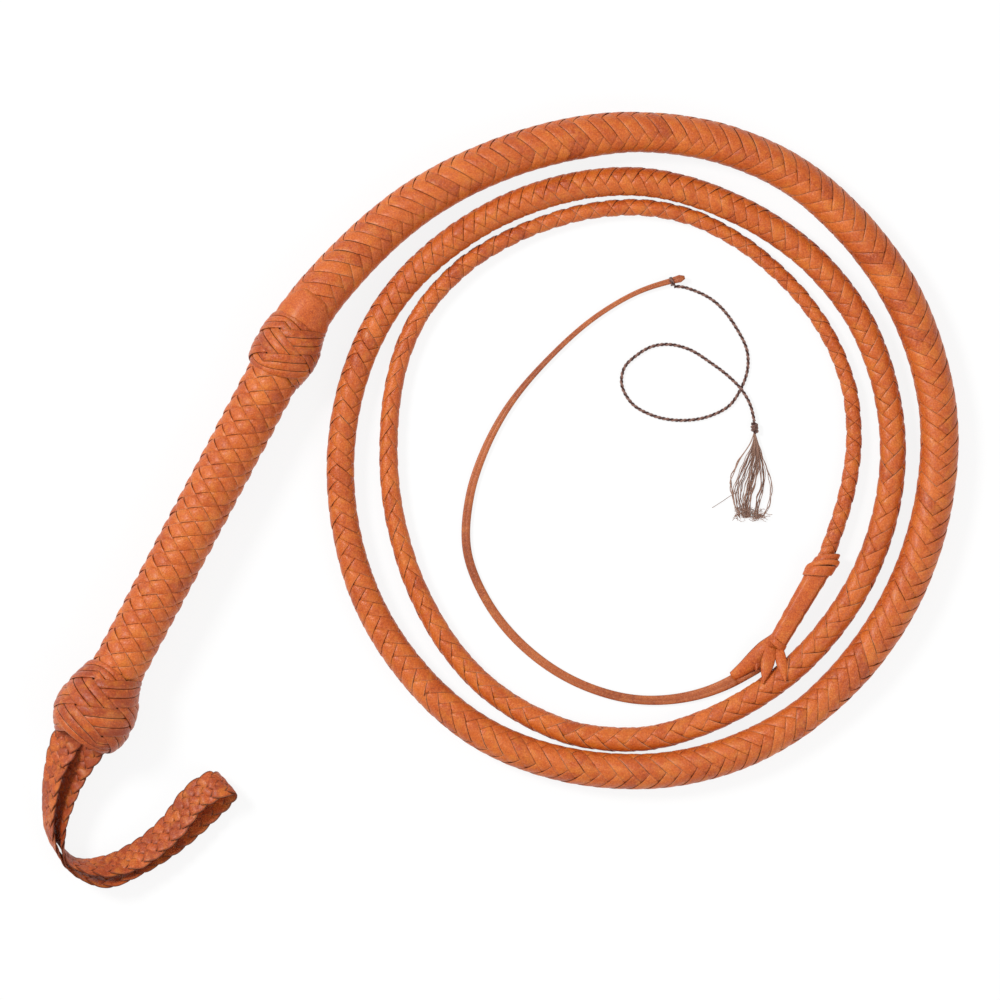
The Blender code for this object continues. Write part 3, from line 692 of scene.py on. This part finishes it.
wrist = {
    "butt": (-0.051519, -0.070941), "width": 0.0165, "strands": 5, "period": 0.0400,
    "strandWidth": 0.0066, "thick": 0.0009, "roundness": 0.86, "dive": 0.7, "rowsPerPeriod": 60,
    # inside: where the leg lying in the other leg's shadow begins; the strands are painted darker from there
    # as painted shadow
    "root": 0.0150, "hidden": 0.0040, "inside": 0.262, "hingeReach": 0.006,
    # x and y from the butt, z, and the way the strap's width faces there
    "route": [
        (-0.0056, 0.0029, 0.0195, -0.87, 0.47, -0.14), (-0.0124, -0.0128, 0.0170, -0.62, 0.36, -0.70),
        (-0.0155, -0.0298, 0.0125, -0.47, 0.22, -0.85), (-0.0149, -0.0468, 0.0098, -0.30, 0.05, -0.95),
        (-0.0050, -0.0628, 0.0090, 0.05, 0.14, -0.99), (0.0125, -0.0688, 0.0080, -0.08, 0.50, -0.86),
        (0.0300, -0.0603, 0.0068, -0.41, 0.59, -0.69), (0.0475, -0.0480, 0.0054, -0.56, 0.64, -0.53),
        (0.0625, -0.0340, 0.0042, -0.65, 0.64, -0.41), (0.0700, -0.0262, 0.0046, -0.62, 0.72, -0.30),
        (0.0732, -0.0213, 0.0092, -0.62, 0.72, -0.30), (0.0690, -0.0210, 0.0138, -0.62, 0.72, -0.30),
        (0.0600, -0.0255, 0.0134, -0.55, 0.74, -0.39), (0.0442, -0.0440, 0.0112, -0.58, 0.66, -0.47),
        (0.0280, -0.0567, 0.0112, -0.41, 0.76, -0.50), (0.0125, -0.0620, 0.0112, 0.03, 0.67, -0.74),
        (-0.0060, -0.0582, 0.0100, 0.20, 0.10, -0.97), (-0.0106, -0.0468, 0.0096, -0.45, -0.07, -0.88),
        (-0.0086, -0.0298, 0.0112, -0.70, 0.25, -0.66), (-0.0026, -0.0145, 0.0150, -0.74, 0.50, -0.42),
        (0.0051, -0.0029, 0.0200, -0.81, 0.54, -0.22)],
}
strapSection = [
    (-1.0, 0.0), (-0.86, 0.72), (-0.45, 1.0), (0.45, 1.0), (0.86, 0.72),
    (1.0, 0.0), (0.86, -0.72), (0.45, -1.0), (-0.45, -1.0), (-0.86, -0.72)]
butt = wrist["butt"]
strapLine = Route([(butt[0] + row[0], butt[1] + row[1], row[2]) for row in wrist["route"]])
strapFacing = [(strapLine.marks[12 * i], Vector(row[3:])) for i, row in enumerate(wrist["route"])]


def strapFrame(distance):
    base = min(max(distance, 0.0), strapLine.length)
    spot = strapLine.at(base)
    heading = strapLine.heading(base)
    across = lookup(strapFacing, base)
    across = (across - heading * across.dot(heading)).normalized()
    return spot + heading * (distance - base), across, across.cross(heading)


def strapStrand(shape, start, end, lane):
    period, count, roundness = wrist["period"], wrist["strands"], wrist["roundness"]
    reach = wrist["width"] - wrist["strandWidth"]
    rate = period / math.tau
    half = math.pi / 2 - math.acos(roundness)
    first = math.floor((start - period / 5) / period * wrist["rowsPerPeriod"])
    last = math.ceil((end + period / 5) / period * wrist["rowsPerPeriod"])

    def over(crossing):
        return edgeWeave(count, crossing % (2 * count))

    def place(row, corner):
        along = (first + row) / wrist["rowsPerPeriod"]
        way = math.tau * (along + lane / count)
        side, face = strapSection[corner]
        turned = roundness * math.cos(way)
        steep = roundness * math.sin(way) / math.sqrt(1 - turned * turned) * reach / 2 / half
        shift = side * wrist["strandWidth"] / 2 / math.hypot(rate, steep)
        lateral = (math.acos(turned) - math.pi / 2) / half * reach / 2 + shift * rate
        distance = min(max(along * period - shift * steep, start), end)
        crossings = way / math.pi * count
        lift = (weave(over, crossings, wrist["dive"]) * 1.25 + face) * wrist["thick"] / 2
        tone = 0.25 + 0.3 * chance(lane, 4) + 0.45 * chance(lane, round(crossings), 6)
        # painted shadow: past wrist["inside"] the tone drops, darkening the leg that lies under the other
        # leg's overhang
        tone -= 0.85 * ease((distance - wrist["inside"]) / 0.008)
        point, across, normal = strapFrame(distance)
        return point + across * lateral + normal * lift, tone, abs(side)

    strip(shape, last - first + 1, len(strapSection), place, end - start)


def strapLength(name, spans, nodes, body):
    shape = newMesh()
    for start, end in spans:
        for lane in range(wrist["strands"]):
            strapStrand(shape, start, end, lane)
    return finish(name, shape, strapLeather, body, nodes)


root, strapEnd = wrist["root"], strapLine.length
strapLength("wristStrapLoop", [(root, strapEnd - root)], ("wrist_loop",), "wrist_loop")
roots = strapLength(
    "wristStrapRoots", [(-wrist["hidden"], root), (strapEnd - root, strapEnd + wrist["hidden"])],
    ("loop_root_outer", "loop_root_inner"), None)
hinge = (strapLine.at(root / 2) + strapLine.at(strapEnd - root / 2)) * 0.5
away = Vector((*handle["toHeel"][:2], 0)).normalized() * wrist["hingeReach"]
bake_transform(roots, "handle", "wrist_loop", start=tuple(hinge - away), end=tuple(hinge + away))
print("wrist strap plaited")

# the hitch: a folded ring, a bound body, an eye, and three cut strand ends

hitch = {
    "point": thong["point"], "direction": (-0.502919, -0.864102, -0.019996),
    # the bound body: its start and end, its radius there, how square and flat it is, and its grid
    "start": -0.0056, "end": 0.0460, "wide": 0.0058, "narrow": 0.0046, "square": 0.72, "flat": 0.84,
    "throat": 0.70, "throatLength": 0.0090, "ripple": 0.00022, "rows": 30, "around": 32,
    # laces drawn round it: middle, radius, width, tilt, turn and tone
    "ring": [(0.0030, 0.0067, 0.0058, -26, 0, 0.60), (-0.0026, 0.0054, 0.0054, -34, 20, 0.45),
             (0.0006, 0.0070, 0.0030, -36, 30, 0.75)],
    "lower": [(0.0448, 0.0051, 0.0034, 10, 30, 0.55)],
    "lace": 0.0012, "laceRows": 48, "hoodRows": 24, "droop": 0.24,
    # the folded strap's middle line, with its width
    "hood": [(0.2966, -0.0184, 0.0068, 0.0060), (0.2912, -0.0244, 0.0094, 0.0098),
             (0.2850, -0.0300, 0.0078, 0.0094), (0.2786, -0.0352, 0.0046, 0.0068),
             (0.2738, -0.0388, 0.0028, 0.0050)],
}
hitchAxis = axisAt(hitch["point"], hitch["direction"])


def wrapPlace(row, corner):
    share = row / (hitch["rows"] - 1)
    distance = hitch["start"] + (hitch["end"] - hitch["start"]) * share
    angle = corner * math.tau / hitch["around"]
    opened = ease((distance - hitch["start"]) / hitch["throatLength"])
    throat = hitch["throat"] + (1 - hitch["throat"]) * opened
    radius = (hitch["wide"] + (hitch["narrow"] - hitch["wide"]) * share) * throat
    ripple = math.sin(distance * 900 + 2.2 * math.sin(angle)) * (0.5 + 0.5 * math.sin(distance * 260))
    radius += hitch["ripple"] * ripple
    if row in (0, hitch["rows"] - 1):
        radius *= 0.85
    width, height = (
        math.copysign(abs(part) ** hitch["square"], part) for part in (math.cos(angle), math.sin(angle)))
    point = Vector((width * radius, height * radius * hitch["flat"], distance))
    return hitchAxis @ point, 0.55, 1.0 if corner in (3, 4) else 0.0


shape = newMesh()
strip(shape, hitch["rows"], hitch["around"], wrapPlace, hitch["end"] - hitch["start"])
finish("hitchWrap", shape, smoothLeather, "inner_coil", ("hitch_wrap",))


def wrappedBand(shape, middle, radius, width, tilt, turn, tone):
    # a flat lace drawn round the hitch, tilted one way
    def place(row, corner):
        side, face = softSection[corner]
        angle = row * math.tau / hitch["laceRows"]
        offset = math.cos(angle - math.radians(turn)) * math.tan(math.radians(tilt)) * radius
        out = radius + (face - 1) * hitch["lace"] / 2
        distance = middle + offset + side * width / 2
        point = Vector((math.cos(angle) * out, math.sin(angle) * out, distance))
        return hitchAxis @ point, tone, abs(side)

    strip(shape, hitch["laceRows"], len(softSection), place, math.tau * radius, closed=True)


hoodLine = Route(hitch["hood"])


def hoodPlace(row, corner):
    # a broad strap folded over, its sides drawn down
    side, face = strapSection[corner]
    distance = hoodLine.length * row / (hitch["hoodRows"] - 1)
    spot, heading = hoodLine.at(distance), hoodLine.heading(distance)
    across, normal = levelFrame(heading)
    droop = side * side * spot[3] * hitch["droop"]
    point = spot.resized(3) + across * (side * spot[3] / 2) + normal * (face * hitch["lace"] / 2 - droop)
    return point, 0.55, abs(side)


for name, bands, node in (("hitchRing", "ring", "hitch_ring"), ("fallEye", "lower", "fall_eye")):
    shape = newMesh()
    for band in hitch[bands]:
        wrappedBand(shape, *band)
    if name == "fallEye":
        strip(shape, hitch["hoodRows"], len(strapSection), hoodPlace, hoodLine.length)
    finish(name, shape, smoothLeather, "inner_coil", (node,))

tails = {
    "thick": 0.0013, "rows": 18, "curl": 0.0008,
    # base, turn, length, width, and the height at the middle and the end
    "leaves": [
        ((0.2892, -0.0262, 0.0070), -22, 0.0105, 0.0050, 0.0072, 0.0076),
        ((0.2930, -0.0238, 0.0088), -13, 0.0188, 0.0066, 0.0116, 0.0128),
        ((0.2968, -0.0242, 0.0080), 11, 0.0180, 0.0054, 0.0120, 0.0134)],
}
for number, (base, turn, length, wide, middleRise, endRise) in enumerate(tails["leaves"], 1):
    heading = Matrix.Rotation(math.radians(turn), 3, "Z") @ Vector((0, -1, 0))
    middle, tip = (Vector(base) + heading * part for part in (length * 0.45, length))
    line = Route([Vector(base), (middle.x, middle.y, middleRise), (tip.x, tip.y, endRise)])

    def leafPlace(row, corner):
        side, face = strapSection[corner]
        share = row / (tails["rows"] - 1)
        distance = line.length * share
        across, normal = levelFrame(line.heading(distance))
        belly = 0.55 + 0.52 * math.sin(math.pi * min(share * 0.85 + 0.15, 1.0))
        width = wide * belly * (1 - share ** 4)
        curl = side ** 2 * tails["curl"] * math.sin(math.pi * share)
        lift = face * tails["thick"] / 2 - curl
        point = line.at(distance) + across * (side * width / 2) + normal * lift
        return point, 0.35 + 0.1 * number, abs(side)

    shape = newMesh()
    strip(shape, tails["rows"], len(strapSection), leafPlace, line.length)
    finish(f"hitchTail{number}", shape, smoothLeather, "inner_coil", (f"hitch_tail_{number}",))
print("hitch bound")

# the fall: one long strap, creased along its length, cut where it lifts

fall = {
    "thick": 0.0022, "fold": 0.0200, "tab": 0.0048, "rootRows": 12, "rows": 150, "diameter": 0.0042,
    # how much wider it is at its root and at its tip
    "flare": 0.35, "flareLength": 0.017, "tipFlare": 0.28,
    "route": [
        (0.2917, -0.0284, 0.0048, 0.0060), (0.2840, -0.0347, 0.0026, 0.0063),
        (0.2604, -0.0465, 0.0014, 0.0054), (0.2280, -0.0503, 0.0014, 0.0046),
        (0.1969, -0.0419, 0.0014, 0.0045), (0.1708, -0.0247, 0.0014, 0.0046),
        (0.1518, -0.0019, 0.0014, 0.0045), (0.1413, 0.0243, 0.0014, 0.0044),
        (0.1427, 0.0515, 0.0014, 0.0043), (0.1501, 0.0744, 0.0014, 0.0040),
        (0.1596, 0.0927, 0.0014, 0.0036), (0.1821, 0.1203, 0.0014, 0.0028),
        (0.2094, 0.1438, 0.0014, 0.0026), (0.2280, 0.1541, 0.0014, 0.0026),
        (0.2454, 0.1596, 0.0030, 0.0030)],
}
fallSection = [
    (-1.0, -0.55), (-1.0, 0.25), (-0.84, 0.70), (-0.40, 0.95), (-0.16, 0.62), (0.06, 0.92),
    (0.55, 1.0), (0.90, 0.62), (1.0, 0.1), (0.92, -0.70), (0.5, -1.0), (-0.5, -1.0)]
fallLine = Route(fall["route"])


def rootWidth(distance):
    return 1.0 + fall["flare"] * (1 - ease(distance / fall["flareLength"]))


def strapWidth(distance):
    # swelling a little at the tip, which is cut round
    past = distance - fallLine.length
    rounding = ease((past - fall["tab"] + 0.0016) / 0.0016)
    return (1.0 + fall["tipFlare"] * ease((past + 0.002) / 0.004)) * (1 - 0.55 * rounding ** 2)


def fallBand(name, start, end, rows, nodes, body, widening):
    def place(row, corner):
        side, face = fallSection[corner]
        distance = start + (end - start) * row / (rows - 1)
        base = min(distance, fallLine.length)
        spot, heading = fallLine.at(base), fallLine.heading(base)
        across, normal = levelFrame(heading)
        width = spot[3] * widening(distance)
        height = fall["thick"] * (0.94 + 0.06 * math.sin(distance * 130))
        point = spot.resized(3) + heading * (distance - base)
        point += across * (side * width / 2) + normal * (face * height / 2)
        # the crease corner gets side 1, so the leather paints it in the seam colour as painted shade in the
        # crease; the edges get 0.96 for the cut edge and a little painted edge shade
        groove = 1.0 if 3 < corner < 5 else abs(side) * 0.96
        return point, 0.5 + 0.3 * math.sin(distance * 60), groove

    shape = newMesh()
    strip(shape, rows, len(fallSection), place, end - start)
    return finish(name, shape, fallLeather, body, nodes)


fallBand("fallRoot", 0.0, fall["fold"], fall["rootRows"], ("fall_root",), "inner_coil", rootWidth)
fallEnd = fallLine.length + fall["tab"]
fallPiece = fallBand("fallStrap", fall["fold"], fallEnd, fall["rows"], ("fall",), "fall", strapWidth)
loose = fallLine.length - fall["fold"]
fallPath = [fallLine.at(fall["fold"] + loose * k / 60).resized(3) for k in range(61)]
fallPath.append(fallPath[-1] + fallLine.heading(fallLine.length) * fall["tab"])

# the cracker: two strands of twine twisted together, tied to the fall and knotted above its tassel

cracker = {
    "strand": 0.00058, "offset": 0.00030, "pitch": 0.0043, "diameter": 0.0014, "rowsPerTurn": 12,
    "route": [
        (0.2448, 0.1563, 0.0012), (0.2482, 0.1562, 0.0010), (0.2543, 0.1545, 0.0009),
        (0.2635, 0.1499, 0.0009), (0.2760, 0.1354, 0.0009),
        (0.2815, 0.1229, 0.0009), (0.2815, 0.1149, 0.0009), (0.2780, 0.1049, 0.0009),
        (0.2725, 0.0969, 0.0009), (0.2635, 0.0919, 0.0009), (0.2485, 0.0894, 0.0009),
        (0.2340, 0.0919, 0.0009), (0.2235, 0.0981, 0.0009), (0.2185, 0.1084, 0.0009),
        (0.2200, 0.1159, 0.0009), (0.2260, 0.1219, 0.0009), (0.2340, 0.1264, 0.0009),
        (0.2415, 0.1274, 0.0009), (0.2510, 0.1254, 0.0009), (0.2635, 0.1179, 0.0012),
        (0.2725, 0.1109, 0.0022), (0.2783, 0.1049, 0.0028), (0.2825, 0.0979, 0.0022),
        (0.2848, 0.0889, 0.0022)],
    # the tie round the fall: its centre, axis, radius, length and turns
    "tie": ((0.2436, 0.1588, 0.0027), (0.94, 0.32, 0.08), 0.0019, 0.0016, 2.2),
    "tieStrand": 0.00032, "tieOffset": 0.0002,
    # the knot above the tassel: its core, and the coils on it as axis, radius, length, turns and start
    "knot": (0.28495, 0.0857, 0.0022), "knotAxis": (0.10, -1.0, -0.1),
    "knotCore": (0.0011, 0.0011, 0.0036, 1), "knotStrand": 0.00055,
    "knotCoils": [
        ((0.10, -1.0, -0.1), 0.0013, 0.0042, 2.6, 0.4), ((0.80, -0.6, 0.2), 0.0013, 0.0010, 1.2, 1.8)],
    "frays": 120, "low": 0.0388,
    # three loose fibres, with their tones
    "strays": [([(0.2766, 0.0536), (0.2735, 0.0520), (0.2690, 0.0490), (0.2638, 0.0457)], 0.05),
               ([(0.2778, 0.0436), (0.2760, 0.0420), (0.2742, 0.0404)], 0.9),
               ([(0.2785, 0.0430), (0.2765, 0.0424), (0.2748, 0.0414)], 0.8)],
    # each bundle: its fibres, how far they spread, and its way from the knot to the gathered end
    "bundles": [
        (3, 0.0006, [(0.2850, 0.0808), (0.2808, 0.0754), (0.2748, 0.0661), (0.2725, 0.0593),
            (0.2733, 0.0528), (0.2750, 0.0464), (0.2770, 0.0406)]),
        (9, 0.0021, [(0.2850, 0.0804), (0.2832, 0.0734), (0.2800, 0.0654), (0.2772, 0.0584),
            (0.2762, 0.0534), (0.2768, 0.0476), (0.2788, 0.0424)]),
        (10, 0.0016, [(0.2852, 0.0804), (0.2850, 0.0718), (0.2836, 0.0644), (0.2820, 0.0568),
            (0.2806, 0.0504), (0.2800, 0.0450), (0.2806, 0.0408)]),
        (9, 0.0014, [(0.2856, 0.0804), (0.2866, 0.0734), (0.2860, 0.0654), (0.2840, 0.0584),
            (0.2824, 0.0520), (0.2812, 0.0454), (0.2820, 0.0408)]),
        (7, 0.0012, [(0.2856, 0.0804), (0.2876, 0.0724), (0.2890, 0.0644), (0.2890, 0.0574),
            (0.2874, 0.0508), (0.2864, 0.0454), (0.2856, 0.0410)]),
        (3, 0.0005, [(0.2858, 0.0808), (0.2886, 0.0728), (0.2918, 0.0638), (0.2934, 0.0558),
            (0.2928, 0.0486), (0.2910, 0.0444), (0.2888, 0.0408)])],
}
crackerLine = Route(cracker["route"])


def twisted(shape, line, offset, radius, tones=(0.0, 1.0)):
    # strands wound round a line, each a little tube
    pitch = cracker["pitch"]
    count = round(line.length / pitch * cracker["rowsPerTurn"]) + 1
    for number, tone in enumerate(tones):
        def place(row, corner):
            distance = line.length * row / (count - 1)
            level, over = levelFrame(line.heading(distance))
            turn = math.tau * (distance / pitch + number / len(tones))
            angle = corner * math.pi / 3
            centre = line.at(distance).resized(3) + (level * math.cos(turn) + over * math.sin(turn)) * offset
            point = centre + (level * math.cos(angle) + over * math.sin(angle)) * radius
            return point, tone, 0.0

        strip(shape, count, 6, place, line.length)


shape = newMesh()
twisted(shape, crackerLine, cracker["offset"], cracker["strand"])
crackerCord = finish("crackerCord", shape, cordTwine, "cracker", ("cracker_cord",))


def coilRoute(centre, axis, radius, length, turns, start=0.0):
    # a helix of the given radius round an axis
    axis = Vector(axis).normalized()
    first = axis.cross(Vector((0, 0, 1))).normalized()
    second = axis.cross(first)
    steps = 10
    points = []
    for k in range(round(turns * steps) + 1):
        angle = start + math.tau * k / steps
        points.append(Vector(centre) + axis * (length * (k / (turns * steps) - 0.5))
                      + (first * math.cos(angle) + second * math.sin(angle)) * radius)
    return Route(points, pieces=4)


shape = newMesh()
twisted(shape, coilRoute(*cracker["tie"]), cracker["tieOffset"], cracker["tieStrand"])
crackerTie = finish("crackerTie", shape, cordTwine, "cracker", ("cracker_hitch",))
shape = newMesh()
knotPlace = Vector(cracker["knot"])
knotCore = bmesh.ops.create_icosphere(shape, subdivisions=3, radius=1.0)["verts"]
bmesh.ops.transform(shape, verts=knotCore, matrix=(
    axisAt(knotPlace, cracker["knotAxis"]) @ Matrix.Diagonal(cracker["knotCore"])))
for coil in cracker["knotCoils"]:
    twisted(shape, coilRoute(knotPlace, *coil), cracker["tieOffset"], cracker["knotStrand"], (0.35, 0.9))
crackerKnot = finish("crackerKnot", shape, cordTwine, "cracker", ("cracker_knot",))


def fibre(shape, points, radius, tone):
    line = Route(points, pieces=5)
    count = max(6, round(line.length / 0.0014))

    def place(row, corner):
        distance = line.length * row / (count - 1)
        level, over = levelFrame(line.heading(distance))
        angle = corner * math.pi / 2
        point = line.at(distance) + (level * math.cos(angle) + over * math.sin(angle)) * radius
        return point, tone, 0.0

    strip(shape, count, 4, place, line.length)


def bundleFibre(shape, line, bundle, number, off, spread):
    # one fibre from the knot to the gathered end, a little wavy, and fanned out within its bundle
    points = [knotPlace + Vector((0, -0.0018, 0))]
    for k in range(1, 13):
        share = k / 12
        spot, heading = line.at(line.length * share), line.heading(line.length * share)
        sideways = off * spread * min(share * 3.2, 1.0)
        sideways += 0.0010 * (chance(number, k, bundle) - 0.5) * min(share * 2.5, 1.0)
        height = 0.0022 - 0.0012 * share + 0.0005 * (chance(number, k, 9) - 0.5)
        height += 0.0022 * (chance(number, bundle, 2) - 0.5) * math.sin(math.pi * share)
        points.append(Vector((
            spot.x + heading.y * sideways, spot.y - heading.x * sideways, max(height, 0.0004))))
    radius = 0.00013 + 0.00013 * chance(number, bundle, 7)
    fibre(shape, points, radius, 0.15 + 0.75 * chance(number, bundle, 3))


def fray(shape, number):
    # a short curl of loose fibre in the gathered end
    across = chance(number, 11)
    deep = (0.0052 - 0.0030 * abs(across - 0.4)) * chance(number, 12)
    points = [Vector((0.2762 + 0.0122 * across, 0.0405 + deep, 0.0004 + 0.0022 * chance(number, 13)))]
    for k in range(3):
        step = Vector((
            chance(number, k, 14) - 0.5, (chance(number, k, 15) - 0.55) * 0.55, chance(number, k, 16) - 0.5))
        point = points[-1] + step * 0.0042
        points.append(Vector((point.x, max(point.y, cracker["low"]), min(max(point.z, 0.0003), 0.0030))))
    fibre(shape, points, 0.00008 + 0.00006 * chance(number, 18), 0.4 + 0.55 * chance(number, 17))


shape = newMesh()
for bundle, (fibres, spread, way) in enumerate(cracker["bundles"]):
    line = Route([(*point, 0.0) for point in way])
    for number in range(fibres):
        off = (number + 0.5) / fibres * 2 - 1 if fibres > 3 else chance(bundle, number) * 2 - 1
        bundleFibre(shape, line, bundle, number, off, spread)
for number in range(cracker["frays"]):
    fray(shape, number)
for points, tone in cracker["strays"]:
    fibre(shape, [(*point, 0.0007) for point in points], 0.00014, tone)
tassel = finish("crackerTassel", shape, fibreTwine, "cracker", ("cracker_tassel",))
path = [tuple(crackerLine.at(crackerLine.length * k / 80)) for k in range(81)]
print("fall and cracker laid")

# the built-up leather under the plaits and knots

for node in ("handle_core", "heel_foundation", "transition_foundation"):
    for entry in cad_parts[node].material_slots:
        entry.material = plaitLeather

# floor and light

studio = {
    "floor": 4.0, "drop": 0.0002, "paleness": (0.86, 0.86, 0.86), "white": 0.86, "world": 0.60,
    "aim": (0.16, 0.05, 0.0),
    # place, size and power
    "lamps": {"key": ((-1.60, 1.05, 2.30), 0.85, 70), "fill": ((1.1, -0.6, 1.2), 0.9, 6)},
}
shape = bmesh.new()
bmesh.ops.create_grid(shape, x_segments=1, y_segments=1, size=studio["floor"])
mesh = bpy.data.meshes.new("floor")
shape.to_mesh(mesh)
shape.free()
floor = bpy.data.objects.new("floor", mesh)
scene.collection.objects.link(floor)
floor.location.z = -studio["drop"]
paint = Paint("paleFloor", Base_Color=studio["paleness"], Roughness=0.9, Specular_IOR_Level=0.1)
seen = paint.node("ShaderNodeLightPath", {}, {}, "Is Camera Ray")
for ray in ("Is Glossy Ray", "Is Transmission Ray"):
    seen = seen + paint.node("ShaderNodeLightPath", {}, {}, ray)
white = paint.node("ShaderNodeEmission", {}, {"Color": (1.0, 1.0, 1.0), "Strength": 1.0})
blended = paint.node("ShaderNodeMixShader", {}, {
    0: seen.clamp() * studio["white"], 1: Wire(paint, paint.shader.outputs[0]), 2: white})
paint.feed(paint.tree.nodes["Material Output"].inputs["Surface"], blended)
mesh.materials.append(paint.material)

world = bpy.data.worlds.new("studio")
scene.world = world
world.use_nodes = True
sky = Nodes(world.node_tree)
glow = sky.node("ShaderNodeBackground", {}, {"Color": (1.0, 1.0, 1.0), "Strength": studio["world"]})
backdrop = sky.node("ShaderNodeBackground", {}, {"Color": (0.8, 0.8, 0.8), "Strength": 1.0})
seen = sky.node("ShaderNodeLightPath", {}, {}, "Is Camera Ray")
mixed = sky.node("ShaderNodeMixShader", {}, {0: seen, 1: glow, 2: backdrop})
sky.feed(sky.tree.nodes["World Output"].inputs["Surface"], mixed)

for name, (place, size, power) in studio["lamps"].items():
    light = bpy.data.lights.new(name, "AREA")
    light.shape = "DISK"
    light.size, light.energy = size, power
    lamp = bpy.data.objects.new(name, light)
    scene.collection.objects.link(lamp)
    lamp.location = place
    lamp.rotation_euler = (Vector(studio["aim"]) - Vector(place)).to_track_quat("-Z", "Y").to_euler()
